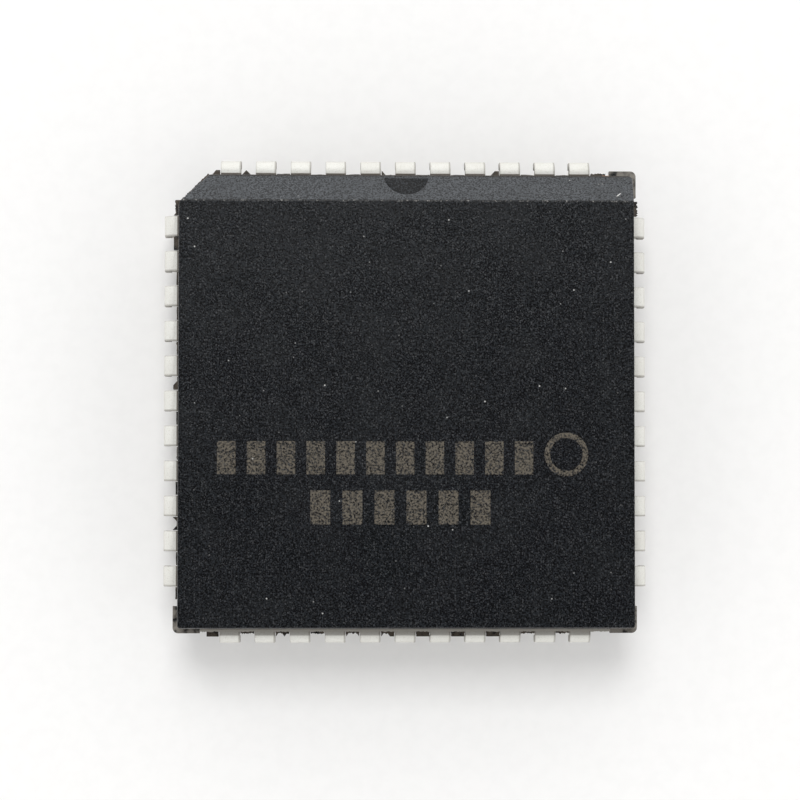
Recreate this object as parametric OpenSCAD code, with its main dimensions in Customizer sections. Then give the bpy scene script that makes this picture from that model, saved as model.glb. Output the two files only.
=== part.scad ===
// Plastic leaded chip carrier with J-leads on four sides, in millimetres.
// Origin: centre of the seating plane. +Z is up, +Y is the side of the first lead.

/* [Leads] */
// Leads on each side, an odd number so that the first lead is in the middle of its side
leads_per_side = 11; // [9:2:13]
// Distance between neighbouring leads
pitch = 1.27; // [1.2:0.01:1.4]
// Thickness of the lead frame's sheet
lead_t = 0.25; // [0.2:0.01:0.3]
// Width of a lead at its shoulder and upper leg
shoulder_w = 0.74; // [0.66:0.01:0.81]
// Width of the lower leg and of the J curl
leg_w = 0.43; // [0.33:0.01:0.53]
// Height of the shoulder's upper face above the seating plane
shoulder_z = 2.67; // [2.5:0.01:3]
// Straight run of a lead between the body's side and the shoulder bend
straight_out = 0.11; // [0.04:0.01:0.2]
// Inner radius of the shoulder bend
bend_r = 0.15; // [0.1:0.01:0.25]
// Height of the wide upper leg below the shoulder bend
upper_leg_h = 0.35; // [0.2:0.01:0.45]
// Height over which the leg narrows
neck_h = 0.2; // [0.1:0.01:0.3]
// Outer radius of the J curl
curl_r = 1.02; // [0.85:0.01:1.14]
// Angle that the J curl turns through, from the leg to its tip
curl_turn = 170; // [150:1:175]

/* [Body] */
// Height of the body's top face above the seating plane
top_z = 4.39; // [4.2:0.01:4.57]
// Height of the body's underside above the seating plane
standoff = 0.71; // [0.55:0.01:0.8]
// Distance from the outermost lead's centre line to the body's side
edge_margin = 1.905; // [1.8:0.005:2.2]
// How much further in the body's first side lies than its other three sides
first_side_in = 0.05; // [0:0.01:0.1]
// Draft angle of the body's sides, above and below the parting line
draft = 3.75; // [3:0.25:7]
// Radius of the body's corners at the narrower of its two flat faces
edge_r = 0.09; // [0.05:0.01:0.2]
// Legs of the corner cut that marks the first side
corner_cut = 1.14; // [1:0.01:1.3]
// Width of the bevel along the first side, seen from above
bevel_w = 1.04; // [0.9:0.01:1.2]
// Height of the bevel along the first side
bevel_h = 1.07; // [0.8:0.01:1.2]
// Radius of the half-round notch in the bevel
notch_r = 0.8; // [0.5:0.01:0.9]
// Height of the notch's floor above the lower edge of the bevel
notch_floor = 0.1; // [0.05:0.01:0.3]
// Free space around each lead tip in its pocket under the body
pocket_gap = 0.15; // [0.08:0.01:0.2]
// Radius of the ejector mark on the underside
ejector_r = 1.25; // [0.8:0.05:2]
// Depth of the ejector mark
ejector_depth = 0.08; // [0.03:0.01:0.15]

/* [Mould flash] */
// How far the flash around a body corner stands out
flash_out = 0.15; // [0.08:0.01:0.2]
// How far unbroken webs between the leads stand out, from the right side anticlockwise
web_out = [0.18, 0.19, 0.16, 0.27]; // [0.1:0.01:0.35]
// Largest share of its reach that a web keeps where it broke away
web_left = 0.4; // [0.1:0.05:0.6]
// Chance that webs are unbroken, from the right side anticlockwise
web_whole = [0.15, 0.2, 0.25, 0.5]; // [0:0.05:1]
// Points along the broken edge of a web
web_points = 4; // [3:1:8]
// How much the points of one web break alike
web_alike = 0.7; // [0:0.05:1]
// Free space between a flash web and the leads beside it
flash_gap = 0.03; // [0.02:0.01:0.06]
// Radius of the flash around a body corner
flash_r = 0.2; // [0.1:0.01:0.3]
// Number that settles where the webs are broken
flash_seed = 45; // [1:1:99]

/* [Lead frame inside the body] */
// Length of full-width lead held behind the body's side
anchor_len = 0.5; // [0.3:0.05:0.8]
// Width of a lead finger behind its anchor
finger_w = 0.5; // [0.4:0.01:0.6]
// Width of a lead finger at its tip
tip_w = 0.3; // [0.2:0.01:0.34]
// Length of the straight land at a finger's tip
tip_land = 0.4; // [0.3:0.05:0.6]
// Gap between the die pad and the finger tips
tip_gap = 0.4; // [0.3:0.05:0.6]
// Distance from the outermost tip's centre line to the pad's corner
tip_inset = 0.35; // [0.3:0.05:0.6]
// Width of the square die pad
pad_w = 6.4; // [5.8:0.1:7]
// How far the die pad lies below the leads
downset = 0.2; // [0.1:0.01:0.3]
// Width of a tie bar
tie_w = 0.25; // [0.2:0.01:0.3]
// Distance from a tie bar's end to the body's corner
tie_inset = 0.95; // [0.85:0.01:1.05]
// Length of flat tie bar beside the pad, before it rises
tie_flat = 0.3; // [0.2:0.05:0.5]
// Length over which a tie bar rises from the pad to the leads
tie_ramp = 0.5; // [0.3:0.05:0.8]

/* [Die and bond wires] */
// Width of the square die
die_w = 4.2; // [3.4:0.1:5]
// Thickness of the die
die_t = 0.4; // [0.3:0.01:0.5]
// Thickness of the die-attach layer
attach_t = 0.03; // [0.02:0.005:0.06]
// How far the die-attach layer shows around the die
attach_margin = 0.15; // [0.05:0.01:0.3]
// Diameter of a bond wire
wire_d = 0.04; // [0.03:0.005:0.05]
// Diameter of the ball bond on the die
ball_d = 0.1; // [0.08:0.01:0.12]
// Height of the ball bond
ball_h = 0.03; // [0.02:0.005:0.05]
// Distance from a bond's centre to the die's edge
bond_inset = 0.15; // [0.1:0.01:0.25]
// Distance from the outermost bond's centre to the die's corner
bond_corner = 0.35; // [0.25:0.01:0.5]
// Height of a wire's kink above the die
loop_h = 0.25; // [0.15:0.01:0.4]
// Length of the stitch bond on a finger
stitch_l = 0.14; // [0.1:0.01:0.2]
// Width of the stitch bond
stitch_w = 0.1; // [0.08:0.01:0.14]
// Height of the stitch bond
stitch_h = 0.06; // [0.055:0.005:0.08]

/* [Hidden] */
$fn = 32;
// Overlap that carries a cut past the face it opens
past = 0.5;
// How much thicker than the wire its kink is
kink_share = 1.2;

// Rows of leads
lead_count = 4 * leads_per_side;
mid = (leads_per_side - 1) / 2;
row_end = mid * pitch;
// Body outline at the parting line, which runs round the middle of the lead frame's sheet
half = row_end + edge_margin;
first_side = half - first_side_in;
side_u = [half, first_side, half, half];
parting_z = shoulder_z - lead_t / 2;
frame_z = shoulder_z - lead_t;
rise_up = top_z - parting_z;
rise_down = parting_z - standoff;
slope = tan(draft);
corner_r = edge_r + max(rise_up, rise_down) * slope;
// Bevel, from its lower edge on the drafted side to its upper edge on the top face
bevel_z = top_z - bevel_h;
bevel_y = first_side - (bevel_z - parting_z) * slope;
// Lead profile, outwards from the body
bend_u = half + straight_out;
leg_u = bend_u + bend_r;
out_u = leg_u + lead_t;
leg_top_z = frame_z - bend_r;
neck_z = leg_top_z - upper_leg_h;
curl_u = out_u - curl_r;
curl_in_r = curl_r - lead_t;
// Pocket under a lead tip
tip_angle = curl_turn - 90;
pocket_in_u = curl_u - curl_r * sin(tip_angle) - pocket_gap;
pocket_out_u = curl_u - curl_in_r * sin(acos((curl_r - standoff) / curl_in_r)) + pocket_gap;
pocket_z = curl_r - curl_in_r * cos(tip_angle) + pocket_gap;
// Lead fingers and pad
anchor_u = half - anchor_len;
finger_u = anchor_u - (shoulder_w - finger_w) / 2;
tip_u = pad_w / 2 + tip_gap;
land_u = tip_u + tip_land;
tip_pitch = (pad_w - 2 * tip_inset) / (leads_per_side - 1);
pad_z = frame_z - downset;
attach_z = pad_z + lead_t;
die_z = attach_z + attach_t;
die_top_z = die_z + die_t;
tie_v = half - tie_inset;
// Body outline at the faces of the sheet, where the tie bars were sheared off
sheet_edge = half - lead_t / 2 * slope;
// Bond wires
bond_u = die_w / 2 - bond_inset;
bond_pitch = (die_w - 2 * bond_corner) / (leads_per_side - 1);
stitch_u = tip_u + tip_land / 2;
kink_z = die_top_z + loop_h;
stitch_z = shoulder_z + stitch_h / 2;
// Flash webs, with one draw for each web and one for each point of its edge
web_count = leads_per_side + 1;
web_draws = rands(0, 1, 4 * web_count, flash_seed);
point_draws = rands(0, 1, 4 * web_count * web_points, flash_seed + 1);

function lead_name(p) = str(p < 10 ? "lead_0" : "lead_", p);
// Lead 1 is in the middle of the +Y side, and the numbers run anticlockwise seen from above
function slot(p) = (p - 1 + mid) % lead_count;
function side_turn(p) = 90 * (1 + floor(slot(p) / leads_per_side));
function place(p) = slot(p) % leads_per_side - mid;

// One lead. Its local frame has X outwards and Y along the row.

// The flat part: shoulder, anchor and the finger that fans in to the die pad
module blade(k) {
    shift = k * (tip_pitch - pitch);
    translate([0, 0, frame_z])
        linear_extrude(lead_t)
            polygon([
                [bend_u, -shoulder_w / 2], [bend_u, shoulder_w / 2],
                [anchor_u, shoulder_w / 2], [finger_u, finger_w / 2],
                [land_u, shift + tip_w / 2], [tip_u, shift + tip_w / 2],
                [tip_u, shift - tip_w / 2], [land_u, shift - tip_w / 2],
                [finger_u, -finger_w / 2], [anchor_u, -shoulder_w / 2]
            ]);
}

// Section of a sheet bend: a quarter or more of a ring, cut out by an outline from its centre
module ring_part(inner_r, outline) {
    intersection() {
        difference() {
            circle(inner_r + lead_t);
            circle(inner_r);
        }
        polygon(outline);
    }
}

// Side view of the formed sheet, from the anchor round the shoulder and down to the tip of the curl
module formed_section() {
    bend_far = bend_r + lead_t + past;
    curl_far = curl_r + past;
    translate([anchor_u, frame_z])
        square([bend_u - anchor_u, lead_t]);
    translate([bend_u, leg_top_z])
        ring_part(bend_r, [[0, 0], [bend_far, 0], [bend_far, bend_far], [0, bend_far]]);
    translate([leg_u, curl_r])
        square([lead_t, leg_top_z - curl_r]);
    translate([curl_u, curl_r])
        ring_part(curl_in_r, [
            [0, 0], [curl_far, 0], [curl_far, -curl_far], [-curl_far, -curl_far],
            [curl_far * cos(curl_turn), -curl_far * sin(curl_turn)]
        ]);
}

// Front view of the leg, wide under the shoulder and narrow from the neck to the seating plane
module leg_outline() {
    neck_end = neck_z - neck_h;
    polygon([
        [-shoulder_w / 2, shoulder_z + past], [shoulder_w / 2, shoulder_z + past],
        [shoulder_w / 2, neck_z], [leg_w / 2, neck_end], [leg_w / 2, -past],
        [-leg_w / 2, -past], [-leg_w / 2, neck_end], [-shoulder_w / 2, neck_z]
    ]);
}

module formed_lead() {
    intersection() {
        translate([0, shoulder_w, 0])
            rotate([90, 0, 0])
                linear_extrude(2 * shoulder_w)
                    formed_section();
        rotate([90, 0, 90])
            linear_extrude(out_u + past)
                leg_outline();
    }
}

module lead(p) {
    k = place(p);
    color("#d9d8d1")
        rotate([0, 0, side_turn(p)])
            translate([0, k * pitch, 0]) {
                blade(k);
                formed_lead();
            }
}

// Lead frame pad with four tie bars, each forked to leave the body on both sides of a corner

// A point given by its distances from the two middle planes, in a frame with X along the diagonal
function diagonal(x, y) = [(x + y) / sqrt(2), (y - x) / sqrt(2)];
// Where a tie bar at distance v from the middle plane was sheared off, beside a corner with this cut
function sheared(v, cut) = min(sheet_edge, 2 * sheet_edge - cut - v);

// One tie bar along the local X axis. Its two ends can be carried further by the length extra.
module tie_bar(cut, extra = 0) {
    pad_edge = pad_w / sqrt(2);
    ramp_start = pad_edge + tie_flat;
    ramp_end = ramp_start + tie_ramp;
    inner = tie_v - tie_w / 2;
    outer = tie_v + tie_w / 2;
    branch = inner + tie_w / sqrt(2);
    end_in = sheared(inner, cut) + extra;
    end_out = sheared(outer, cut) + extra;
    translate([0, tie_w / 2, 0])
        rotate([90, 0, 0])
            linear_extrude(tie_w)
                polygon([
                    [pad_edge - tie_flat, pad_z], [ramp_start, pad_z],
                    [ramp_end, frame_z], [ramp_end + tie_flat, frame_z],
                    [ramp_end + tie_flat, shoulder_z], [ramp_end, shoulder_z],
                    [ramp_start, attach_z], [pad_edge - tie_flat, attach_z]
                ]);
    translate([0, 0, frame_z])
        linear_extrude(lead_t)
            polygon([
                [ramp_end, -tie_w / 2], diagonal(branch, inner), diagonal(end_in, inner),
                diagonal(end_out, outer), diagonal(outer, outer), diagonal(outer, end_out),
                diagonal(inner, end_in), diagonal(inner, branch), [ramp_end, tie_w / 2]
            ]);
}

module pad_with_bars(extra = 0) {
    translate([-pad_w / 2, -pad_w / 2, pad_z])
        cube([pad_w, pad_w, lead_t]);
    for (turn = [45:90:315])
        rotate([0, 0, turn])
            tie_bar(turn == 135 ? corner_cut : 0, extra);
}

module die_pad() {
    color("#b9794a")
        pad_with_bars();
}

module die_attach() {
    width = die_w + 2 * attach_margin;
    color("#b4b4b8")
        translate([-width / 2, -width / 2, attach_z])
            cube([width, width, attach_t]);
}

module silicon_die() {
    color("#4a4f5a")
        translate([-die_w / 2, -die_w / 2, die_z])
            cube([die_w, die_w, die_t]);
}

// One wire from its ball on the die, up to a kink and down to its stitch on the finger
module bond_wire(run) {
    drop = kink_z - stitch_z;
    translate([0, 0, die_top_z])
        cylinder(d = ball_d, h = ball_h);
    translate([0, 0, die_top_z + ball_h / 2])
        cylinder(d = wire_d, h = loop_h - ball_h / 2);
    translate([0, 0, kink_z])
        sphere(d = wire_d * kink_share);
    translate([0, 0, kink_z])
        rotate([0, 90 + atan2(drop, run), 0])
            cylinder(d = wire_d, h = norm([run, drop]));
    translate([run - stitch_l / 2, -stitch_w / 2, shoulder_z])
        cube([stitch_l, stitch_w, stitch_h]);
}

module bond_wires() {
    color("#d2ad45")
        for (p = [1:lead_count]) {
            k = place(p);
            along = k * (tip_pitch - bond_pitch);
            out = stitch_u - bond_u;
            rotate([0, 0, side_turn(p)])
                translate([bond_u, k * bond_pitch, 0])
                    rotate([0, 0, atan2(along, out)])
                        bond_wire(norm([out, along]));
        }
}

// Moulded body

// Centres of the rounded corners, two of them at the ends of the corner cut
function corner_centres() =
    let (
        c = half - corner_r,
        first_c = first_side - corner_r,
        cut_c = corner_cut + corner_r * tan(22.5)
    )
    [[c, first_c], [c, -c], [-c, -c], [-c, first_side - cut_c], [cut_c - half, first_c]];

// Both drafted halves, which meet at the parting line
module drafted_block() {
    hull()
        for (c = corner_centres())
            translate([c.x, c.y, parting_z]) {
                cylinder(r1 = corner_r, r2 = corner_r - rise_up * slope, h = rise_up);
                translate([0, 0, -rise_down])
                    cylinder(r1 = corner_r - rise_down * slope, r2 = corner_r, h = rise_down);
            }
}

// Reach of one web at one point of its edge, whole or broken off short
function web_reach(side, web, point) =
    let (
        at = side * web_count + web,
        draw = web_alike * web_draws[at] + (1 - web_alike) * point_draws[at * web_points + point]
    )
    web_out[side] * (draw < web_whole[side] ? 1 : web_left * draw);

// Flash web from y0 to y1 along a side
module flash_web(side, web, y0, y1) {
    root_u = half - flash_out;
    step = (y1 - y0) / (web_points - 1);
    edge = [
        for (point = [0:web_points - 1])
            [side_u[side] + web_reach(side, web, point), y0 + point * step]
    ];
    translate([0, 0, frame_z])
        linear_extrude(lead_t)
            polygon(concat([[root_u, y0]], edge, [[root_u, y1]]));
}

// Webs between the leads of one side, and from the outermost leads to the tie bars
module flash_row(side) {
    reach = shoulder_w / 2 + flash_gap;
    outer = tie_v - tie_w / 2;
    for (web = [0:web_count - 1]) {
        y0 = web == 0 ? -outer : (web - 1 - mid) * pitch + reach;
        y1 = web == web_count - 1 ? outer : (web - mid) * pitch - reach;
        flash_web(side, web, y0, y1);
    }
}

// Unbroken flash around a corner, outside the ends of the tie bars
module flash_corner() {
    from = tie_v + tie_w / 2;
    side = half + flash_out - from;
    translate([from, from, frame_z])
        linear_extrude(lead_t) {
            square([side, side - flash_r]);
            square([side - flash_r, side]);
            translate([side - flash_r, side - flash_r])
                circle(flash_r);
        }
}

module bevel_cut() {
    run = past / bevel_h;
    low = [bevel_y + run * bevel_w, bevel_z - past];
    high = [bevel_y - bevel_w - run * bevel_w, top_z + past];
    translate([-half - past, 0, 0])
        rotate([90, 0, 90])
            linear_extrude(2 * (half + past))
                polygon([low, [low.x, high.y], high]);
}

module notch_cut() {
    translate([0, bevel_y, bevel_z + notch_floor])
        cylinder(r = notch_r, h = bevel_h + past);
}

module pocket_cuts() {
    width = leg_w + 2 * pocket_gap;
    for (p = [1:lead_count])
        rotate([0, 0, side_turn(p)])
            translate([pocket_in_u, place(p) * pitch - width / 2, standoff - past])
                cube([pocket_out_u - pocket_in_u, width, pocket_z - standoff + past]);
}

module ejector_cut() {
    translate([0, 0, standoff - past])
        cylinder(r = ejector_r, h = past + ejector_depth);
}

module package_body() {
    color("#27282b")
        difference() {
            union() {
                drafted_block();
                for (side = [0:3])
                    rotate([0, 0, 90 * side])
                        flash_row(side);
                for (turn = [0, -90, -180])
                    rotate([0, 0, turn])
                        flash_corner();
            }
            bevel_cut();
            notch_cut();
            pocket_cuts();
            ejector_cut();
            for (p = [1:lead_count])
                rotate([0, 0, side_turn(p)])
                    translate([0, place(p) * pitch, 0])
                        blade(place(p));
            pad_with_bars(past);
            die_attach();
            silicon_die();
            bond_wires();
        }
}

package_body();
die_pad();
die_attach();
silicon_die();
bond_wires();
for (p = [1:lead_count])
    lead(p);
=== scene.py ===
"""Looks for a plastic leaded chip carrier: moulded body, tinned leads, inside pieces and a pale stage."""
import math
import random

import bmesh
import bpy
from mathutils import Euler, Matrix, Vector


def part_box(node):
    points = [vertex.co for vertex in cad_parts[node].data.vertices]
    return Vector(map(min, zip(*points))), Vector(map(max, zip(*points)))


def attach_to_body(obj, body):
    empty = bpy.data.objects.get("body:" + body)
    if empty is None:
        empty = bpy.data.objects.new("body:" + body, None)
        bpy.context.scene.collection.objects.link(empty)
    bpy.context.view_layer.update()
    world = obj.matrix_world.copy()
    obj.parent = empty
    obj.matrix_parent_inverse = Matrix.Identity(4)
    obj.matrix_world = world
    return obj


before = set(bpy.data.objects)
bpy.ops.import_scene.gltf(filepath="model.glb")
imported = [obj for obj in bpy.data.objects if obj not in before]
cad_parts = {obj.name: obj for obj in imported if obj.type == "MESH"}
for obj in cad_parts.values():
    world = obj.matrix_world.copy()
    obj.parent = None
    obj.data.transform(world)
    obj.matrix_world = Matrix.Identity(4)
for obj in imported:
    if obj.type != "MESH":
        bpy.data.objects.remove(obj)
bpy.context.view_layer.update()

bl_info = {
    "name": "Leaded chip carrier looks",
    "version": (1, 0, 0),
    "blender": (4, 5, 0),
    "location": "3D View > Sidebar > Chip",
    "description": "Dresses the pieces of a leaded chip carrier and lights them on a pale stage",
    "category": "Object",
}

# One millimetre in the scene's metres
MM = 0.001
BODY = "root"
MOULDED = "package_body"
LEADS = sorted(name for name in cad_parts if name.startswith("lead_"))
# Leads on each of the four sides
ROW_LEADS = len(LEADS) // 4

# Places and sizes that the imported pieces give
TOP_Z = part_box(MOULDED)[1].z
LEAD_LOW, LEAD_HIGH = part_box("lead_01")
SHOULDER_Z = LEAD_HIGH.z
SHOULDER_W = LEAD_HIGH.x - LEAD_LOW.x
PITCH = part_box("lead_44")[1].x - LEAD_HIGH.x
WIRE_TOP_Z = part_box("bond_wires")[1].z
PAD_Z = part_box("die_pad")[0].z

# The lead frame's sheet
SHEET_T = 0.25 * MM
MID_SHEET_Z = SHOULDER_Z - SHEET_T / 2
# From the middle to the body's sides at the parting line, and to its first-lead side
SIDE = 8.255 * MM
FIRST_SIDE = 8.205 * MM
# Length of the corner cut along each side, and where the flash at the other corners starts
CORNER_CUT = 1.14 * MM
CORNER_FLASH = 7.43 * MM
# Foot of the bevel, its width seen from above and its height
BEVEL_Y = 8.154 * MM
BEVEL_W = 1.04 * MM
BEVEL_H = 1.07 * MM
# Radius of the notch in the bevel, and its floor's height over the bevel's foot
NOTCH_R = 0.8 * MM
NOTCH_FLOOR = 0.1 * MM
# Sheared tip of a lead's curl, out from the middle and up from the floor
CURL_TIP_U = 7.05 * MM
CURL_TIP_Z = 0.82 * MM

# Ends of the tags of flash beyond the last leads, along the body's sides
TAG_FROM = 6.76 * MM
TAG_TO = 7.30 * MM
# Low and high face of the strips of flash in the sheet, and of the skin over the last row's shoulders
STRIP_HEIGHTS = (SHOULDER_Z - 0.8 * SHEET_T, SHOULDER_Z - 0.2 * SHEET_T)
SKIN_HEIGHTS = (SHOULDER_Z + 0.002 * MM, SHOULDER_Z + 0.03 * MM)
# Space between a web of flash and the lead beside it
WEB_SPACE = 0.015 * MM
# Points that a crumb's lump is drawn round
CRUMB_POINTS = 14

# Angles from which an edge counts as sharp, on the moulding and on the stamped leads
MOULDED_SHARP = math.radians(25)
STAMPED_SHARP = math.radians(40)
# Points nearer than this are joined before the rounding, and so are faces closer to one plane than this
WELD_GAP = 0.0001 * MM
FLAT_ANGLE = math.radians(0.5)

# Rows of plain blocks in place of the marking: left, right, low and high edge, and pitch of the blocks
MARK_ROWS = (
    (-6.75 * MM, 4.66 * MM, -2.68 * MM, -1.50 * MM, 1.06 * MM),
    (-3.43 * MM, 3.16 * MM, -4.46 * MM, -3.25 * MM, 1.14 * MM),
)
# Share of the pitch that a block takes up
MARK_FILL = 0.62
# Plain ring beside the first row: centre, outer radius and width of its line
RING_AT = (5.69 * MM, -1.96 * MM)
RING_R = 0.78 * MM
RING_W = 0.2 * MM
# Scratch at the end of the bevel
SCRATCH_AT = (7.62 * MM, 7.37 * MM)
SCRATCH_TURN = math.radians(38)
SCRATCH_L = 0.26 * MM
SCRATCH_W = 0.035 * MM

# Colours of the small things on the moulding
FLECK = (0.10, 0.104, 0.110, 1)
BEVEL_FOOT = (0.014, 0.008, 0.004, 1)
SCRATCH = (0.62, 0.62, 0.61, 1)
# A paler broken line along the top edge of the bevel
PALE_BEVEL_EDGE = (0.38, 0.37, 0.35, 1)
DUST = (0.55, 0.55, 0.54, 1)
# Colours of the small things on the leads
LEAD_BLEED = (0.050, 0.032, 0.018, 1)
# Dark rims of the stamped edges with painted shade, heavier on the side away from the light
LEAD_RIM_SHADE = (0.22, 0.20, 0.17, 1)
# Painted shadow of the body on the last row's shoulders
LEAD_PAINTED_SHADOW = (0.10, 0.085, 0.065, 1)
LEAD_DUST = (0.20, 0.18, 0.15, 1)
# Scales of the two sizes of flecks, as shares of the grain's scale
FLECK_SCALES = (0.75, 1.25)
# Material of the moulding and its flash
RESIN = "Moulded resin"
# Inside pieces: node, setting with its colour, material, size of its grain, roughness and metallic share
INSIDE = (
    ("die_pad", "pad", "Pad copper", 0.05 * MM, 0.3, 1.0),
    ("die_attach", "attach", "Silver adhesive", 0.02 * MM, 0.5, 0.6),
    ("silicon_die", "silicon", "Polished silicon", 0.3 * MM, 0.12, 0.5),
    ("bond_wires", "gold", "Wire gold", 0.02 * MM, 0.2, 1.0),
)

# Tints of the floor's glow and of the studio's light
GLOW = (1.0, 1.0, 1.005, 1)
DAYLIGHT = (1.0, 0.995, 0.985, 1)
# The studio's light: two limits on the way to the sky, from -1 to 1, and the level at each of them
SKY_BY_Z = (0.62, 0.95, 1.05, 0.06)
FIRST_SKY_BY_Y = (0.45, 0.95, 0.0, 1.0)
LAST_SKY_BY_Y = (-0.22, 0.0, 1.0, 0.0)
# Width of the camera's sensor in millimetres, and the nearest and farthest that it sees
SENSOR_W = 36
SEEN_FROM = 0.001
SEEN_TO = 10


class MouldingLook(bpy.types.PropertyGroup):
    """Finish of the moulded body"""

    resin: bpy.props.FloatVectorProperty(
        name="Resin",
        description="Colour of the filled moulding resin",
        subtype="COLOR", size=4, min=0, max=1,
        default=(0.0006, 0.0008, 0.0012, 1),
    )
    filler: bpy.props.FloatVectorProperty(
        name="Filler",
        description="Colour of the filler grains that show in the surface",
        subtype="COLOR", size=4, min=0, max=1,
        default=(0.0158, 0.0190, 0.0238, 1),
    )
    # The bevel's lighter colour is a painted highlight, for the light that the bevel catches from the
    # first-lead side
    bevel: bpy.props.FloatVectorProperty(
        name="Bevel",
        description="Colour of the smoother bevel on the first-lead side",
        subtype="COLOR", size=4, min=0, max=1,
        default=(0.094, 0.102, 0.112, 1),
    )
    bleed: bpy.props.FloatVectorProperty(
        name="Resin bleed",
        description="Colour of thin resin at the parting line and on the flash",
        subtype="COLOR", size=4, min=0, max=1,
        default=(0.080, 0.066, 0.052, 1),
    )
    # On the skin over the last row of leads this pale colour is a painted highlight, for the lit band along
    # the foot of the wall
    flash: bpy.props.FloatVectorProperty(
        name="Flash",
        description="Colour of the paler flash at the corners and along the last row of leads",
        subtype="COLOR", size=4, min=0, max=1,
        default=(0.420, 0.400, 0.365, 1),
    )
    mark: bpy.props.FloatVectorProperty(
        name="Mark",
        description="Colour of the burnt marks on the top face",
        subtype="COLOR", size=4, min=0, max=1,
        default=(0.150, 0.130, 0.100, 1),
    )
    grain: bpy.props.FloatProperty(
        name="Grain", description="Size of the surface grain",
        unit="LENGTH", subtype="DISTANCE", default=0.062 * MM,
    )
    edge: bpy.props.FloatProperty(
        name="Edge", description="Width of the rounding along the moulded edges",
        unit="LENGTH", subtype="DISTANCE", default=0.03 * MM,
    )
    gloss: bpy.props.FloatProperty(
        name="Specular level", description="Strength of the resin's shine",
        subtype="FACTOR", min=0, max=1, default=0.25,
    )


class TinLook(bpy.types.PropertyGroup):
    """Finish of the plated leads"""

    tin: bpy.props.FloatVectorProperty(
        name="Tin",
        description="Colour of the matte tin plate",
        subtype="COLOR", size=4, min=0, max=1,
        default=(0.785, 0.785, 0.752, 1),
    )
    dull: bpy.props.FloatVectorProperty(
        name="Dull tin",
        description="Colour of the plate where it has been handled",
        subtype="COLOR", size=4, min=0, max=1,
        default=(0.62, 0.60, 0.55, 1),
    )
    copper: bpy.props.FloatVectorProperty(
        name="Copper",
        description="Colour of the sheet where it was sheared off",
        subtype="COLOR", size=4, min=0, max=1,
        default=(0.48, 0.24, 0.12, 1),
    )
    grain: bpy.props.FloatProperty(
        name="Grain", description="Size of the plate's grain",
        unit="LENGTH", subtype="DISTANCE", default=0.04 * MM,
    )
    edge: bpy.props.FloatProperty(
        name="Edge", description="Width of the rounding along the stamped edges",
        unit="LENGTH", subtype="DISTANCE", default=0.022 * MM,
    )


class InsideLook(bpy.types.PropertyGroup):
    """Finish of the pieces inside the moulding"""

    pad: bpy.props.FloatVectorProperty(
        name="Pad", description="Colour of the die pad's copper alloy",
        subtype="COLOR", size=4, min=0, max=1, default=(0.62, 0.33, 0.18, 1),
    )
    attach: bpy.props.FloatVectorProperty(
        name="Die attach", description="Colour of the silver-filled adhesive",
        subtype="COLOR", size=4, min=0, max=1, default=(0.48, 0.48, 0.50, 1),
    )
    silicon: bpy.props.FloatVectorProperty(
        name="Silicon", description="Colour of the die",
        subtype="COLOR", size=4, min=0, max=1, default=(0.10, 0.11, 0.14, 1),
    )
    gold: bpy.props.FloatVectorProperty(
        name="Gold", description="Colour of the bond wires",
        subtype="COLOR", size=4, min=0, max=1, default=(0.80, 0.57, 0.20, 1),
    )


class FlashLook(bpy.types.PropertyGroup):
    """Ragged remains of the mould flash"""

    seed: bpy.props.IntProperty(
        name="Seed", description="Settles where the crumbs lie", default=11,
    )
    per_gap: bpy.props.IntProperty(
        name="Crumbs per gap", description="Crumbs in each space between leads", default=5,
    )
    reach: bpy.props.FloatProperty(
        name="Reach", description="Depth of the strip along the body's side in which crumbs sit",
        unit="LENGTH", subtype="DISTANCE", default=0.05 * MM,
    )
    crumb: bpy.props.FloatProperty(
        name="Crumb", description="Radius of the largest crumb",
        unit="LENGTH", subtype="DISTANCE", default=0.06 * MM,
    )
    fringe: bpy.props.FloatProperty(
        name="Fringe", description="How far the ragged fringe along the corner cut stands out",
        unit="LENGTH", subtype="DISTANCE", default=0.12 * MM,
    )
    tag: bpy.props.FloatProperty(
        name="Tag", description="How far the tags of flash beyond the last leads stand out",
        unit="LENGTH", subtype="DISTANCE", default=0.13 * MM,
    )
    long_tag: bpy.props.FloatProperty(
        name="Long tag", description="How far the longest tag of flash stands out",
        unit="LENGTH", subtype="DISTANCE", default=0.24 * MM,
    )
    lip: bpy.props.FloatProperty(
        name="Lip", description="How far the skin of flash reaches over the last row of leads",
        unit="LENGTH", subtype="DISTANCE", default=0.11 * MM,
    )
    # The webs are dark strips of flash that also stand in for the shade under the skin
    web: bpy.props.FloatProperty(
        name="Web", description="How far the torn webs between the last row's leads stand out",
        unit="LENGTH", subtype="DISTANCE", default=0.19 * MM,
    )
    tooth: bpy.props.FloatProperty(
        name="Tooth", description="Spacing of the points along the edge of these strips",
        unit="LENGTH", subtype="DISTANCE", default=0.037 * MM,
    )


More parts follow.
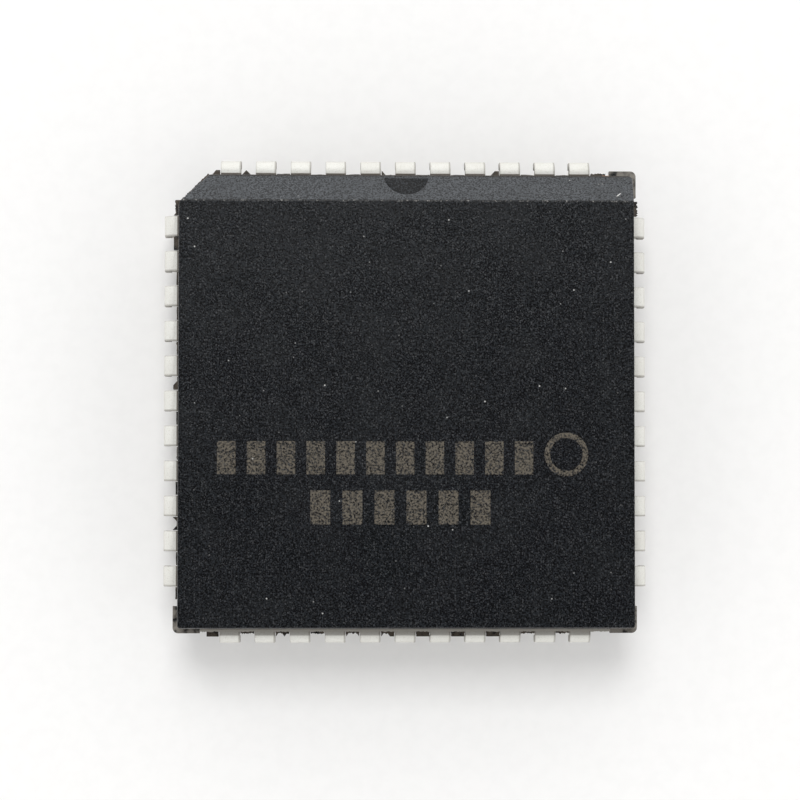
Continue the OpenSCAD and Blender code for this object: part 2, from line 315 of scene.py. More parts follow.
class StageLook(bpy.types.PropertyGroup):
    """Floor, light and camera"""

    floor: bpy.props.FloatVectorProperty(
        name="Floor", description="Colour of the pale floor",
        subtype="COLOR", size=4, min=0, max=1, default=(0.745, 0.742, 0.738, 1),
    )
    glow: bpy.props.FloatProperty(
        name="Floor glow", description="Light that the floor adds to its own picture, where 1 is white",
        subtype="FACTOR", min=0, max=1, default=0.16,
    )
    camera_at: bpy.props.FloatVectorProperty(
        name="Camera", description="Place of the camera",
        subtype="TRANSLATION", unit="LENGTH",
        default=(-2.737 * MM, -3.436 * MM, 93.418 * MM),
    )
    camera_turn: bpy.props.FloatVectorProperty(
        name="Camera turn", description="Turn of the camera from looking straight down",
        subtype="EULER", unit="ROTATION",
        default=(math.radians(2.189), math.radians(-1.604), math.radians(0.038)),
    )
    lens: bpy.props.FloatProperty(
        name="Lens", description="Focal length in millimetres on a 36 mm sensor",
        unit="CAMERA", subtype="DISTANCE_CAMERA", default=112.59,
    )
    reach: bpy.props.FloatProperty(
        name="Floor reach", description="From the middle of the floor to its sides",
        unit="LENGTH", subtype="DISTANCE", default=1.5,
    )
    key_at: bpy.props.FloatVectorProperty(
        name="Key light", description="Place of the key light, on the first-lead side",
        subtype="TRANSLATION", unit="LENGTH", default=(-0.05, 0.41, 0.80),
    )
    key_width: bpy.props.FloatProperty(
        name="Key width", description="Width of the key light",
        unit="LENGTH", subtype="DISTANCE", default=0.40,
    )
    key_height: bpy.props.FloatProperty(
        name="Key height", description="Height of the key light",
        unit="LENGTH", subtype="DISTANCE", default=0.32,
    )
    key_power: bpy.props.FloatProperty(
        name="Key power", description="Power of the key light",
        unit="POWER", subtype="POWER", default=3.45,
    )
    first_light: bpy.props.FloatProperty(
        name="First side", description="Light that the studio's first-lead side adds",
        subtype="FACTOR", min=0, max=1, default=0.45,
    )
    last_light: bpy.props.FloatProperty(
        name="Last side", description="Light that the side across from it adds",
        subtype="FACTOR", min=0, max=1, default=0.22,
    )


def fill(tree, made, inputs):
    """Fills a node's inputs, each with a plain value or another node's output."""
    for name, value in inputs.items():
        if isinstance(value, bpy.types.NodeSocket):
            tree.links.new(value, made.inputs[name])
        else:
            made.inputs[name].default_value = value


def node(tree, kind, inputs=None, **settings):
    """A new node with its settings made and its inputs filled."""
    made = tree.nodes.new(kind)
    for name, value in settings.items():
        setattr(made, name, value)
    fill(tree, made, inputs or {})
    return made


def maths(tree, operation, a, b=0.0, c=0.0):
    """The result of one sum."""
    return node(tree, "ShaderNodeMath", {0: a, 1: b, 2: c}, operation=operation).outputs[0]


def times(tree, first, *others):
    """Values multiplied together, such as masks that all have to hold."""
    for other in others:
        first = maths(tree, "MULTIPLY", first, other)
    return first


def largest(tree, first, *others):
    """The largest of some values, such as masks of which one has to hold."""
    for other in others:
        first = maths(tree, "MAXIMUM", first, other)
    return first


def over(tree, value, limit):
    """A mask of where a value is over a limit."""
    return maths(tree, "GREATER_THAN", value, limit)


def under(tree, value, limit):
    """A mask of where a value is under a limit."""
    return maths(tree, "LESS_THAN", value, limit)


def size_of(tree, value):
    """A value without its sign."""
    return maths(tree, "ABSOLUTE", value)


def apart(tree, a, b):
    """How far two values lie apart."""
    return size_of(tree, maths(tree, "SUBTRACT", a, b))


def ramp(tree, value, low, high, to_low=0.0, to_high=1.0):
    """A value that goes smoothly from one end to the other, and no further."""
    made = node(
        tree, "ShaderNodeMapRange",
        {"Value": value, "From Min": low, "From Max": high, "To Min": to_low, "To Max": to_high},
        interpolation_type="SMOOTHSTEP",
    )
    return made.outputs["Result"]


def mix(tree, factor, a, b):
    """Two colours mixed by a mask."""
    made = node(tree, "ShaderNodeMix", {"Factor": factor, 6: a, 7: b}, data_type="RGBA")
    return made.outputs[2]


def layered(tree, colour, *layers):
    """A colour with others laid over it in turn, each through its mask."""
    for mask, other in layers:
        colour = mix(tree, mask, colour, tuple(other))
    return colour


def shaded(colour, share):
    """A share of a colour."""
    return tuple(share * part for part in colour[:3]) + (1,)


def place_of(tree):
    """The point's place in the piece's own frame."""
    return node(tree, "ShaderNodeTexCoord").outputs["Object"]


def parts_of(tree, place):
    """The X, Y and Z of a place."""
    return tuple(node(tree, "ShaderNodeSeparateXYZ", {0: place}).outputs)


def offsets(tree, x, y, centre):
    """Steps in X and Y from a point, seen from above."""
    return maths(tree, "SUBTRACT", x, centre[0]), maths(tree, "SUBTRACT", y, centre[1])


def length(tree, dx, dy):
    """The length of a step in X and Y."""
    return maths(tree, "SQRT", maths(tree, "ADD", times(tree, dx, dx), times(tree, dy, dy)))


def square_reach(tree, x, y):
    """Half the width of the square round the middle that a point lies on, seen from above."""
    return largest(tree, size_of(tree, x), size_of(tree, y))


def noise(tree, place, scale, detail=2.0, roughness=0.5):
    """Noise with about as many features in a metre as its scale says."""
    inputs = {"Vector": place, "Scale": scale, "Detail": detail, "Roughness": roughness}
    return node(tree, "ShaderNodeTexNoise", inputs).outputs["Fac"]


def specks(tree, place, scale, share, channel, inner, outer):
    """A mask of round specks in a share of a random pattern's cells."""
    cells = node(tree, "ShaderNodeTexVoronoi", {"Vector": place, "Scale": scale}).outputs
    draw = node(tree, "ShaderNodeSeparateColor", {0: cells["Color"]}).outputs[channel]
    near = ramp(tree, cells["Distance"], inner, outer, 1.0, 0.0)
    chosen = ramp(tree, draw, maths(tree, "SUBTRACT", 1.0, share), 1.0)
    return times(tree, near, chosen)


def new_group(name, inputs, outputs):
    """An empty shader node group, with float inputs and their defaults and with float outputs."""
    tree = bpy.data.node_groups.new(name, "ShaderNodeTree")
    for label, default in inputs.items():
        socket = tree.interface.new_socket(label, in_out="INPUT", socket_type="NodeSocketFloat")
        socket.default_value = default
    for label in outputs:
        tree.interface.new_socket(label, in_out="OUTPUT", socket_type="NodeSocketFloat")
    return tree, tree.nodes.new("NodeGroupInput").outputs, tree.nodes.new("NodeGroupOutput")


def grain_group(name):
    """Fine grain: a soft mottle, a mask of single bright flecks in two sizes, and a height."""
    tree, given, out = new_group(name, {"Scale": 20000.0, "Flecks": 0.2}, ("Mottle", "Fleck", "Height"))
    place = place_of(tree)
    soft = noise(tree, place, given["Scale"], 2.0, 0.6)
    fleck = 0.0
    for share in FLECK_SCALES:
        scale = times(tree, given["Scale"], share)
        fleck = largest(tree, specks(tree, place, scale, given["Flecks"], "Red", 0.18, 0.52), fleck)
    height = maths(tree, "MULTIPLY_ADD", fleck, 0.5, soft)
    fill(tree, out, {"Mottle": soft, "Fleck": fleck, "Height": height})
    return tree


def dust_group(name):
    """Sparse dust specks and broad handling smudges."""
    tree, given, out = new_group(name, {"Spacing": 2500.0, "Share": 0.1}, ("Dust", "Smudge"))
    place = place_of(tree)
    dust = specks(tree, place, given["Spacing"], given["Share"], "Green", 0.02, 0.08)
    broad = noise(tree, place, 1 / (2.2 * MM), 3.0)
    fill(tree, out, {"Dust": dust, "Smudge": ramp(tree, broad, 0.35, 0.7)})
    return tree


def edge_group(name):
    """Broken wear along a line, from the distance to it."""
    tree, given, out = new_group(name, {"Distance": 0.0, "Width": 0.04 * MM, "Breaks": 0.5}, ("Wear",))
    broken = noise(tree, place_of(tree), 1 / (0.12 * MM), 3.0, 0.7)
    far = maths(tree, "DIVIDE", size_of(tree, given["Distance"]), given["Width"])
    near = ramp(tree, far, 0.2, 1.0, 1.0, 0.0)
    kept = ramp(tree, broken, given["Breaks"], maths(tree, "ADD", given["Breaks"], 0.15))
    fill(tree, out, {"Wear": times(tree, near, kept)})
    return tree


# Shader node groups that the materials share, each with the function that makes it
GROUPS = {"Fine grain": grain_group, "Dust and smudges": dust_group, "Edge wear": edge_group}


def use(tree, name, inputs):
    """The outputs of a shared node group placed in a material. The group is made when it is first used."""
    group = bpy.data.node_groups.get(name) or GROUPS[name](name)
    return node(tree, "ShaderNodeGroup", inputs, node_tree=group).outputs


def edge_wear(tree, distance, width, breaks):
    """A mask of broken wear along a line."""
    return use(tree, "Edge wear", {"Distance": distance, "Width": width, "Breaks": breaks})["Wear"]


def block_row(tree, x, y, left, right, low, high, pitch):
    """A mask of plain blocks in a row, seen from above."""
    inside = times(tree, over(tree, x, left), under(tree, x, right), over(tree, y, low), under(tree, y, high))
    step = maths(tree, "FRACT", maths(tree, "DIVIDE", maths(tree, "SUBTRACT", x, left), pitch))
    return times(tree, inside, under(tree, step, MARK_FILL))


def ring_mark(tree, x, y):
    """A mask of the plain ring, seen from above."""
    out = length(tree, *offsets(tree, x, y, RING_AT))
    return under(tree, apart(tree, out, RING_R - RING_W / 2), RING_W / 2)


def top_marks(tree, place, x, y, z):
    """A patchy mask of the plain blocks and the ring on the top face."""
    rows = [block_row(tree, x, y, *row) for row in MARK_ROWS]
    flat = ramp(tree, z, TOP_Z - 0.02 * MM, TOP_Z - 0.01 * MM)
    patchy = ramp(tree, noise(tree, place, 1 / (0.07 * MM), 3.0, 0.7), 0.38, 0.62)
    return times(tree, largest(tree, *rows, ring_mark(tree, x, y)), flat, patchy)


def bevel_face(tree, y, z):
    """A mask of the bevel on the first-lead side."""
    down = maths(tree, "SUBTRACT", TOP_Z, z)
    line = maths(tree, "MULTIPLY_ADD", down, BEVEL_W / BEVEL_H, BEVEL_Y - BEVEL_W)
    near = ramp(tree, apart(tree, y, line), 0.02 * MM, 0.04 * MM, 1.0, 0.0)
    return times(tree, near, ramp(tree, down, 0.01 * MM, 0.04 * MM))


def bevel_foot(tree, y, z):
    """A mask of the dark line along the foot of the bevel."""
    wear = edge_wear(tree, apart(tree, z, TOP_Z - BEVEL_H), 0.10 * MM, 0.1)
    return times(tree, wear, over(tree, y, BEVEL_Y - 0.1 * MM))


def bevel_head(tree, y, z):
    """A mask of a paler broken line along the top edge of the bevel."""
    off = maths(tree, "ADD", apart(tree, y, BEVEL_Y - BEVEL_W), apart(tree, z, TOP_Z))
    return edge_wear(tree, off, 0.07 * MM, 0.55)


def scratch_mark(tree, x, y):
    """A mask of one short scratch with tapered ends, seen from above."""
    dx, dy = offsets(tree, x, y, SCRATCH_AT)
    cos, sin = math.cos(SCRATCH_TURN), math.sin(SCRATCH_TURN)
    along = size_of(tree, maths(tree, "MULTIPLY_ADD", dx, cos, times(tree, dy, sin)))
    across = size_of(tree, maths(tree, "MULTIPLY_ADD", dy, cos, times(tree, dx, -sin)))
    return under(tree, across, ramp(tree, along, 0.2 * SCRATCH_L, 0.5 * SCRATCH_L, SCRATCH_W / 2, 0.0))


def notch_face(tree, place, x, y, z):
    """A mask of the half-round notch in the bevel, ragged at its rim."""
    ragged = times(tree, noise(tree, place, 1 / (0.1 * MM)), 0.12 * MM)
    out = maths(tree, "ADD", length(tree, *offsets(tree, x, y, (0.0, BEVEL_Y))), ragged)
    near = ramp(tree, out, NOTCH_R + 0.04 * MM, NOTCH_R + 0.12 * MM, 1.0, 0.0)
    below = under(tree, z, TOP_Z - 0.05 * MM)
    raised = over(tree, z, TOP_Z - BEVEL_H + NOTCH_FLOOR - 0.01 * MM)
    return times(tree, near, below, raised)


def sheet_bleed(tree, place, z):
    """A patchy mask of the thin resin along the parting line."""
    near = ramp(tree, apart(tree, z, MID_SHEET_Z), 0.10 * MM, 0.22 * MM, 1.0, 0.0)
    return times(tree, near, ramp(tree, noise(tree, place, 1 / (0.3 * MM)), 0.3, 0.6))


def pale_flash_and_painted_highlight(tree, bleed, x, y, z):
    """A mask of the paler flash at the three whole corners, and of the pale skin over the last row of leads,
    whose paleness is a painted highlight.
    """
    inner = maths(tree, "MINIMUM", size_of(tree, x), size_of(tree, y))
    whole = over(tree, maths(tree, "SUBTRACT", x, y), -SIDE)
    corner = times(tree, bleed, over(tree, inner, CORNER_FLASH), whole, 0.5)
    outside = under(tree, y, -SIDE - 0.004 * MM)
    return largest(tree, corner, times(tree, outside, over(tree, z, SHOULDER_Z + 0.001 * MM), 0.9))


def lead_rims_painted_shade(tree, x, y):
    """A mask of dark rims along both sides of a shoulder: the stamped edges with painted shade, one side
    darker than the other, the heavier rim on the side away from the light.
    """
    aside = over(tree, size_of(tree, x), size_of(tree, y))
    other = maths(tree, "SUBTRACT", times(tree, y, -1.0), x)
    row = maths(tree, "MULTIPLY_ADD", aside, other, x)
    whole = maths(tree, "ROUND", maths(tree, "DIVIDE", row, PITCH))
    off = maths(tree, "MULTIPLY_ADD", whole, -PITCH, row)
    half = SHOULDER_W / 2
    broad = ramp(tree, off, half - 0.085 * MM, half - 0.025 * MM)
    fine = ramp(tree, off, -half + 0.010 * MM, -half + 0.045 * MM, 0.5, 0.0)
    return largest(tree, broad, fine)


def painted_lead_shadow(tree, from_wall, y, z):
    """A mask of the painted shadow that the body casts on the last row's shoulders, near the body."""
    near = ramp(tree, from_wall, 0.21 * MM, 0.26 * MM, 0.52, 0.0)
    return times(tree, near, under(tree, y, -SIDE), over(tree, z, SHOULDER_Z - 0.1 * MM))


def lead_tip(tree, out, z):
    """A mask of the sheared end of a lead's curl."""
    end = ramp(tree, out, CURL_TIP_U - 0.04 * MM, CURL_TIP_U, 1.0, 0.0)
    low = ramp(tree, z, 1.2 * MM, 1.25 * MM, 1.0, 0.0)
    return times(tree, end, low, ramp(tree, z, CURL_TIP_Z, CURL_TIP_Z + 0.03 * MM))


def new_material(name):
    """A material with an empty tree, its tree and its surface shader."""
    made = bpy.data.materials.new(name)
    made.use_nodes = True
    tree = made.node_tree
    tree.nodes.clear()
    shader = node(tree, "ShaderNodeBsdfPrincipled")
    node(tree, "ShaderNodeOutputMaterial", {"Surface": shader.outputs["BSDF"]})
    return made, tree, shader


def relief(tree, height, strength, depth):
    """The normals of a fine relief."""
    made = node(tree, "ShaderNodeBump", {"Height": height, "Strength": strength, "Distance": depth})
    return made.outputs["Normal"]


def moulding_material(look):
    """Dark filled resin with grain, flecks, resin bleed at the parting line, paler flash at the corners, a
    paler broken line along the bevel's top edge and plain marks; the bevel's lighter colour and the pale skin
    over the last row of leads are painted highlights.
    """
    made, tree, shader = new_material(RESIN)
    place = place_of(tree)
    x, y, z = parts_of(tree, place)
    grain = use(tree, "Fine grain", {"Scale": 1 / look.grain, "Flecks": 0.5})
    dust = use(tree, "Dust and smudges", {"Spacing": 1 / (0.5 * MM), "Share": 0.7})
    mottle = grain["Mottle"]
    bevel = bevel_face(tree, y, z)
    notch = notch_face(tree, place, x, y, z)
    marks = top_marks(tree, place, x, y, z)
    bleed = sheet_bleed(tree, place, z)
    colour = layered(
        tree, mix(tree, ramp(tree, mottle, 0.38, 0.78), tuple(look.resin), tuple(look.filler)),
        (times(tree, grain["Fleck"], 0.35), FLECK),
        # Painted highlight on the bevel, broken up by the grain
        (times(tree, bevel, ramp(tree, mottle, 0.32, 0.72, 0.10, 0.95)), look.bevel),
        (times(tree, notch, ramp(tree, mottle, 0.48, 0.70, 0.0, 0.45)), look.bevel),
        (times(tree, bevel_foot(tree, y, z), 0.85), BEVEL_FOOT),
        (times(tree, scratch_mark(tree, x, y), bevel), SCRATCH),
        (times(tree, marks, 0.75), look.mark),
        (bleed, look.bleed),
        # Paler flash at the corners, and the skin over the last row of leads painted pale as a highlight
        (pale_flash_and_painted_highlight(tree, bleed, x, y, z), look.flash),
        (times(tree, bevel_head(tree, y, z), 0.7), PALE_BEVEL_EDGE),
        (dust["Dust"], DUST),
    )
    rough = ramp(tree, mottle, 0.3, 0.75, 0.22, 0.32)
    rough = maths(tree, "MULTIPLY_ADD", dust["Smudge"], 0.05, rough)
    rough = maths(tree, "MULTIPLY_ADD", largest(tree, marks, notch), 0.25, rough)
    fill(tree, shader, {
        "Base Color": colour,
        "Roughness": rough,
        "Specular IOR Level": look.gloss,
        "Normal": relief(tree, grain["Height"], 0.3, 0.02 * MM),
    })
    return made


def tin_material(look):
    """Matte tin over copper: fine grain, dull patches, duller below the shoulder, bleed beside the body, dark
    rims with painted shade, painted shadow of the body on the last row's shoulders and bare sheared ends.
    """
    made, tree, shader = new_material("Matte tin")
    x, y, z = parts_of(tree, place_of(tree))
    grain = use(tree, "Fine grain", {"Scale": 1 / look.grain, "Flecks": 0.12})
    dust = use(tree, "Dust and smudges", {"Spacing": 1 / (0.4 * MM), "Share": 0.12})
    out = square_reach(tree, x, y)
    from_wall = maths(tree, "SUBTRACT", out, SIDE)
    # The plate is duller and darker below the shoulder, towards the bottom of the lead
    below_shoulder = ramp(tree, z, SHOULDER_Z - 0.45 * MM, SHOULDER_Z - 0.12 * MM, 0.75, 0.0)
    colour = layered(
        tree, mix(tree, ramp(tree, grain["Mottle"], 0.5, 0.85), tuple(look.tin), tuple(look.dull)),
        (times(tree, dust["Smudge"], 0.25), look.dull),
        (below_shoulder, look.dull),
        (times(tree, edge_wear(tree, from_wall, 0.06 * MM, 0.15), 0.92), LEAD_BLEED),
        # Dark rims: stamped edges with painted shade
        (times(tree, lead_rims_painted_shade(tree, x, y), 0.5), LEAD_RIM_SHADE),
        # Painted shadow of the body on the last row's shoulders
        (painted_lead_shadow(tree, from_wall, y, z), LEAD_PAINTED_SHADOW),
        (lead_tip(tree, out, z), look.copper),
        (times(tree, dust["Dust"], 0.6), LEAD_DUST),
    )
    fill(tree, shader, {
        "Base Color": colour,
        "Roughness": ramp(tree, grain["Mottle"], 0.3, 0.8, 0.66, 0.80),
        "Metallic": 0.55,
        "Normal": relief(tree, grain["Height"], 0.25, 0.012 * MM),
    })
    return made


def metal_material(name, colour, size, roughness, metallic):
    """A plain inside finish with its own grain."""
    made, tree, shader = new_material(name)
    grain = use(tree, "Fine grain", {"Scale": 1 / size, "Flecks": 0.1})
    mottle = grain["Mottle"]
    fill(tree, shader, {
        "Base Color": mix(tree, ramp(tree, mottle, 0.4, 0.8), tuple(colour), shaded(colour, 0.7)),
        "Roughness": ramp(tree, mottle, 0.3, 0.8, roughness, roughness + 0.15),
        "Metallic": metallic,
        "Normal": relief(tree, grain["Height"], 0.2, 0.1 * size),
    })
    return made


def floor_material(look):
    """Pale matte paper with a faint mottle. Part of its paleness is a glow that only the picture shows."""
    made, tree, shader = new_material("Pale floor")
    mottle = use(tree, "Fine grain", {"Scale": 1 / (0.6 * MM), "Flecks": 0.05})["Mottle"]
    rays = node(tree, "ShaderNodeLightPath").outputs
    seen = largest(tree, rays["Is Camera Ray"], rays["Is Glossy Ray"], rays["Is Transmission Ray"])
    fill(tree, shader, {
        "Base Color": mix(tree, ramp(tree, mottle, 0.35, 0.7), tuple(look.floor), shaded(look.floor, 0.98)),
        "Roughness": 0.9,
        "Specular IOR Level": 0.0,
        "Emission Color": GLOW,
        "Emission Strength": times(tree, seen, look.glow),
    })
    return made


def dress(name, material):
    """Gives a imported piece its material."""
    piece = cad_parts[name]
    piece.data.materials.clear()
    piece.data.materials.append(material)
    return piece


def outside_edges(tree):
    """A mask of the moulding's outside, clear of the sheet and of the hollows for the pieces inside."""
    x, y, z = parts_of(tree, node(tree, "GeometryNodeInputPosition").outputs[0])
    shown = largest(
        tree,
        over(tree, square_reach(tree, x, y), SIDE - 0.02 * MM),
        over(tree, z, WIRE_TOP_Z + 0.05 * MM),
        under(tree, z, PAD_Z - 0.02 * MM),
    )
    return times(tree, shown, over(tree, apart(tree, z, MID_SHEET_Z), SHEET_T / 2 + 0.02 * MM))


def edge_marker(name, sharp, outside):
    """Geometry nodes that mark a mesh's sharp edges for rounding, only on its outside if asked."""
    tree = bpy.data.node_groups.new(name, "GeometryNodeTree")
    tree.interface.new_socket("Mesh", in_out="INPUT", socket_type="NodeSocketGeometry")
    tree.interface.new_socket("Mesh", in_out="OUTPUT", socket_type="NodeSocketGeometry")
    given = tree.nodes.new("NodeGroupInput").outputs[0]
    plain = node(tree, "GeometryNodeSetMeshNormal", {"Mesh": given, "Remove Custom": True}).outputs[0]
    marked = over(tree, node(tree, "GeometryNodeInputMeshEdgeAngle").outputs["Unsigned Angle"], sharp)
    if outside:
        rounded = times(tree, marked, outside_edges(tree))
        kept = over(tree, maths(tree, "SUBTRACT", marked, rounded), 0.5)
        plain = node(
            tree, "GeometryNodeSetShadeSmooth",
            {"Geometry": plain, "Selection": kept, "Shade Smooth": False}, domain="EDGE",
        ).outputs[0]
        marked = rounded
    stored = node(
        tree, "GeometryNodeStoreNamedAttribute",
        {"Geometry": plain, "Name": "bevel_weight_edge", "Value": marked},
        data_type="FLOAT", domain="EDGE",
    )
    node(tree, "NodeGroupOutput", {0: stored.outputs[0]})
    return tree


def round_edges(piece, width, marker):
    """Rounds a piece's marked edges and shades it smoothly."""
    weld = piece.modifiers.new("Weld", "WELD")
    weld.merge_threshold = WELD_GAP
    flat = piece.modifiers.new("Plain faces", "DECIMATE")
    flat.decimate_type = "DISSOLVE"
    flat.angle_limit = FLAT_ANGLE
    marks = piece.modifiers.new("Mark edges", "NODES")
    marks.node_group = marker
    bevel = piece.modifiers.new("Round edges", "BEVEL")
    bevel.width = width
    bevel.segments = 2
    bevel.limit_method = "WEIGHT"
    bevel.use_clamp_overlap = False
    bevel.loop_slide = False
    shade = piece.modifiers.new("Shade", "WEIGHTED_NORMAL")
    shade.keep_sharp = True
    shade.weight = 80


class CHIP_OT_dress_body(bpy.types.Operator):
    """Round the moulded body's edges and give it its finish"""

    bl_idname = "chip.dress_body"
    bl_label = "Dress moulded body"

    def execute(self, context):
        look = context.scene.chip_moulding
        piece = dress(MOULDED, moulding_material(look))
        round_edges(piece, look.edge, edge_marker("Moulded edges", MOULDED_SHARP, True))
        return {"FINISHED"}


class CHIP_OT_dress_leads(bpy.types.Operator):
    """Round the stamped edges of the leads and plate them"""

    bl_idname = "chip.dress_leads"
    bl_label = "Dress leads"

    def execute(self, context):
        look = context.scene.chip_tin
        tin = tin_material(look)
        marker = edge_marker("Stamped edges", STAMPED_SHARP, False)
        for name in LEADS:
            round_edges(dress(name, tin), look.edge, marker)
        return {"FINISHED"}


class CHIP_OT_dress_inside(bpy.types.Operator):
    """Give the die pad, die attach, die and bond wires their finishes"""

    bl_idname = "chip.dress_inside"
    bl_label = "Dress inside pieces"

    def execute(self, context):
        look = context.scene.chip_inside
        for name, setting, material, *finish in INSIDE:
            dress(name, metal_material(material, getattr(look, setting), *finish))
        return {"FINISHED"}


class CHIP_OT_flash_crumbs(bpy.types.Operator):
    """Leave ragged crumbs of flash between the leads and ragged strips of it along the body"""

    bl_idname = "chip.flash_crumbs"
    bl_label = "Flash crumbs"

    def execute(self, context):
        look = context.scene.chip_flash
        draw = random.Random(look.seed)
        mesh = bmesh.new()
        self.add_crumbs(mesh, draw, look)
        self.add_strips(mesh, draw, look)
        bmesh.ops.recalc_face_normals(mesh, faces=mesh.faces)
        data = bpy.data.meshes.new("flash_crumbs")
        mesh.to_mesh(data)
        mesh.free()
        piece = bpy.data.objects.new("flash_crumbs", data)
        context.scene.collection.objects.link(piece)
        data.materials.append(bpy.data.materials[RESIN])
        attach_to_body(piece, BODY)
        return {"FINISHED"}

    @staticmethod
    def gap_middle(gap):
        """The middle of a gap along a row of leads. The first and last gap lie beyond the row's ends."""
        return (gap - ROW_LEADS / 2) * PITCH

    def add_crumbs(self, mesh, draw, look):
        """Crumbs in every gap of the four rows."""
        for quarter in range(4):
            turn = Euler((0, 0, quarter * math.pi / 2)).to_matrix()
            wall = FIRST_SIDE if quarter == 1 else SIDE
            for gap in range(ROW_LEADS + 1):
                for _ in range(draw.randint(1, look.per_gap)):
                    self.add_crumb(mesh, draw, turn, wall, self.gap_middle(gap), look)

    def add_strips(self, mesh, draw, look):
        """The fringe along the corner cut, the tags, the skin over the last row of leads and its webs, which
        also stand in for the shade under the skin.
        """
        strips = [
            ((-SIDE, FIRST_SIDE - CORNER_CUT), (CORNER_CUT - SIDE, FIRST_SIDE), look.fringe, STRIP_HEIGHTS),
            ((-SIDE, TAG_FROM), (-SIDE, TAG_TO), look.tag, STRIP_HEIGHTS),
            ((TAG_FROM, FIRST_SIDE), (TAG_TO, FIRST_SIDE), look.tag, STRIP_HEIGHTS),
            ((SIDE, TAG_TO), (SIDE, TAG_FROM), look.long_tag, STRIP_HEIGHTS),
            ((CORNER_FLASH, -SIDE), (-CORNER_FLASH, -SIDE), look.lip, SKIN_HEIGHTS),
        ]
        half_web = (PITCH - SHOULDER_W) / 2 - WEB_SPACE
        # Torn webs between the last row's leads: dark strips that also stand in for the shade under the skin
        for gap in range(1, ROW_LEADS):
            middle = self.gap_middle(gap)
            strips.append(((middle + half_web, -SIDE), (middle - half_web, -SIDE), look.web, STRIP_HEIGHTS))
        for start, end, reach, heights in strips:
            self.add_strip(mesh, draw, Vector((*start, 0)), Vector((*end, 0)), reach, heights, look.tooth)

    @staticmethod
    def add_strip(mesh, draw, start, end, reach, heights, tooth):
        """A ragged strip of flash rooted in the body's side from one point to another, body on its right."""
        steps = max(2, round((end - start).length / tooth))
        along = (end - start) / steps
        out = Vector((-along.y, along.x, 0)).normalized()
        low, high = (Vector((0, 0, height)) for height in heights)
        rows = []
        for step in range(steps + 1):
            at = start + step * along
            edge = at + out * reach * draw.uniform(0.7, 1.0)
            root = at - out * reach
            corners = (root + low, edge + low, edge + high, root + high)
            rows.append([mesh.verts.new(corner) for corner in corners])
        for one, two in zip(rows, rows[1:]):
            for side in range(4):
                beside = (side + 1) % 4
                mesh.faces.new((one[side], one[beside], two[beside], two[side]))
        mesh.faces.new(rows[0][::-1])
        mesh.faces.new(rows[-1])

    @staticmethod
    def add_crumb(mesh, draw, turn, wall, centre, look):
        """One crumb, a small uneven lump that sits in the body's side at the height of the sheet."""
        free = (PITCH - SHOULDER_W) / 2 - look.crumb
        size = look.crumb * draw.uniform(0.6, 1.0)
        at = Vector((
            wall + draw.uniform(-0.5, 0.5) * look.reach,
            centre + draw.uniform(-1, 1) * free,
            SHOULDER_Z - SHEET_T * draw.uniform(0.25, 0.75),
        ))
        points = []
        for _ in range(CRUMB_POINTS):
            way = Vector((draw.gauss(0, 1), draw.gauss(0, 1), draw.gauss(0, 1))).normalized()
            points.append(mesh.verts.new(turn @ (at + size * draw.uniform(0.7, 1.0) * way)))
        hull = bmesh.ops.convex_hull(mesh, input=points)
        inside = [v for v in hull["geom_interior"] if isinstance(v, bmesh.types.BMVert)]
        bmesh.ops.delete(mesh, geom=inside, context="VERTS")


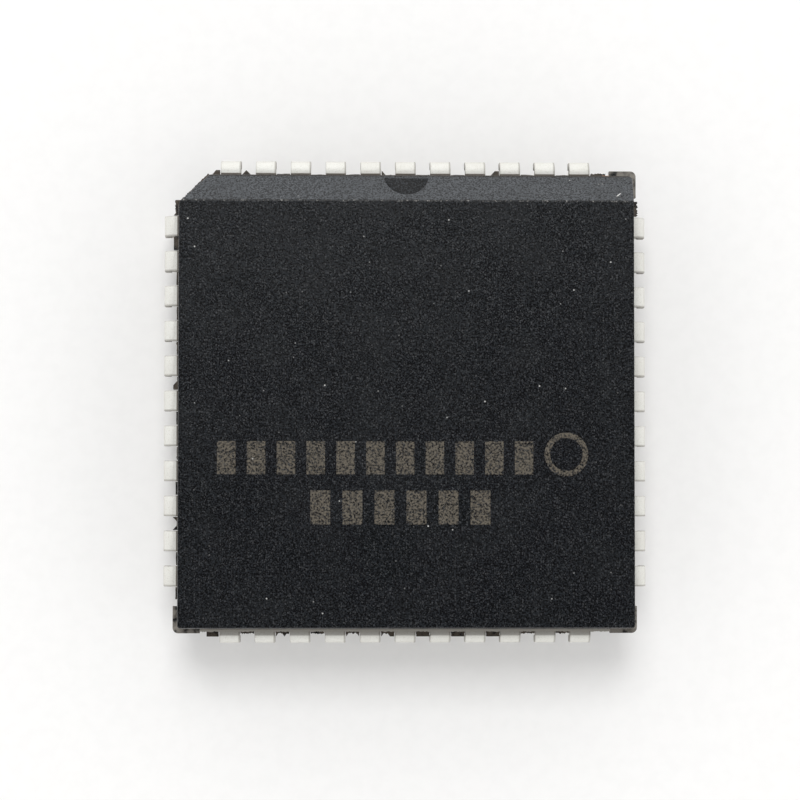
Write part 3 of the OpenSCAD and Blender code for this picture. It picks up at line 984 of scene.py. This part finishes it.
class CHIP_OT_stage(bpy.types.Operator):
    """Set the floor, the light and the camera"""

    bl_idname = "chip.stage"
    bl_label = "Stage"

    def execute(self, context):
        look = context.scene.chip_stage
        self.add_floor(context, look)
        self.add_world(context, look)
        self.add_key(context, look)
        self.add_camera(context, look)
        context.scene.view_settings.view_transform = "Standard"
        return {"FINISHED"}

    @staticmethod
    def add_floor(context, look):
        """A plain square floor."""
        mesh = bmesh.new()
        bmesh.ops.create_grid(mesh, x_segments=1, y_segments=1, size=look.reach)
        data = bpy.data.meshes.new("floor")
        mesh.to_mesh(data)
        mesh.free()
        data.materials.append(floor_material(look))
        floor = bpy.data.objects.new("floor", data)
        context.scene.collection.objects.link(floor)

    @staticmethod
    def add_world(context, look):
        """A studio that is dim overhead and bright round the horizon, most of all on the first-lead side."""
        world = bpy.data.worlds.new("Studio")
        context.scene.world = world
        world.use_nodes = True
        tree = world.node_tree
        tree.nodes.clear()
        _, y, z = parts_of(tree, node(tree, "ShaderNodeTexCoord").outputs["Generated"])
        level = ramp(tree, z, *SKY_BY_Z)
        level = maths(tree, "MULTIPLY_ADD", ramp(tree, y, *FIRST_SKY_BY_Y), look.first_light, level)
        level = maths(tree, "MULTIPLY_ADD", ramp(tree, y, *LAST_SKY_BY_Y), look.last_light, level)
        light = node(tree, "ShaderNodeBackground", {"Color": DAYLIGHT, "Strength": level})
        node(tree, "ShaderNodeOutputWorld", {"Surface": light.outputs[0]})

    @staticmethod
    def add_key(context, look):
        """A soft light high on the first-lead side."""
        lamp = bpy.data.lights.new("Key", "AREA")
        lamp.shape = "RECTANGLE"
        lamp.size = look.key_width
        lamp.size_y = look.key_height
        lamp.energy = look.key_power
        key = bpy.data.objects.new("Key", lamp)
        key.location = look.key_at
        key.rotation_euler = (-key.location).to_track_quat("-Z", "Y").to_euler()
        context.scene.collection.objects.link(key)

    @staticmethod
    def add_camera(context, look):
        """The camera in the place that the photo was taken from."""
        data = bpy.data.cameras.new("Camera")
        data.sensor_width = SENSOR_W
        data.lens = look.lens
        data.clip_start = SEEN_FROM
        data.clip_end = SEEN_TO
        camera = bpy.data.objects.new("Camera", data)
        camera.location = look.camera_at
        camera.rotation_euler = look.camera_turn
        context.scene.collection.objects.link(camera)
        context.scene.camera = camera


class CHIP_PT_looks(bpy.types.Panel):
    """The chip's looks and the operators that make them"""

    bl_idname = "CHIP_PT_looks"
    bl_label = "Chip carrier"
    bl_space_type = "VIEW_3D"
    bl_region_type = "UI"
    bl_category = "Chip"

    def draw(self, context):
        for operator, group in STEPS:
            box = self.layout.box()
            box.operator(operator.bl_idname)
            look = getattr(context.scene, group)
            for name in look.__annotations__:
                box.prop(look, name)


# Each operator with the scene's settings that it reads, in the order that they run
STEPS = (
    (CHIP_OT_dress_body, "chip_moulding"),
    (CHIP_OT_dress_leads, "chip_tin"),
    (CHIP_OT_dress_inside, "chip_inside"),
    (CHIP_OT_flash_crumbs, "chip_flash"),
    (CHIP_OT_stage, "chip_stage"),
)
SETTINGS = {
    "chip_moulding": MouldingLook,
    "chip_tin": TinLook,
    "chip_inside": InsideLook,
    "chip_flash": FlashLook,
    "chip_stage": StageLook,
}


def register():
    """Registers the settings, the operators and the panel."""
    for name, group in SETTINGS.items():
        bpy.utils.register_class(group)
        setattr(bpy.types.Scene, name, bpy.props.PointerProperty(type=group))
    for operator, _ in STEPS:
        bpy.utils.register_class(operator)
    bpy.utils.register_class(CHIP_PT_looks)


def unregister():
    """Takes away what register added."""
    bpy.utils.unregister_class(CHIP_PT_looks)
    for operator, _ in reversed(STEPS):
        bpy.utils.unregister_class(operator)
    for name, group in SETTINGS.items():
        delattr(bpy.types.Scene, name)
        bpy.utils.unregister_class(group)


def main():
    """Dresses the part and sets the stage."""
    register()
    for operator, _ in STEPS:
        family, name = operator.bl_idname.split(".")
        getattr(getattr(bpy.ops, family), name)()


if __name__ == "__main__":
    main()
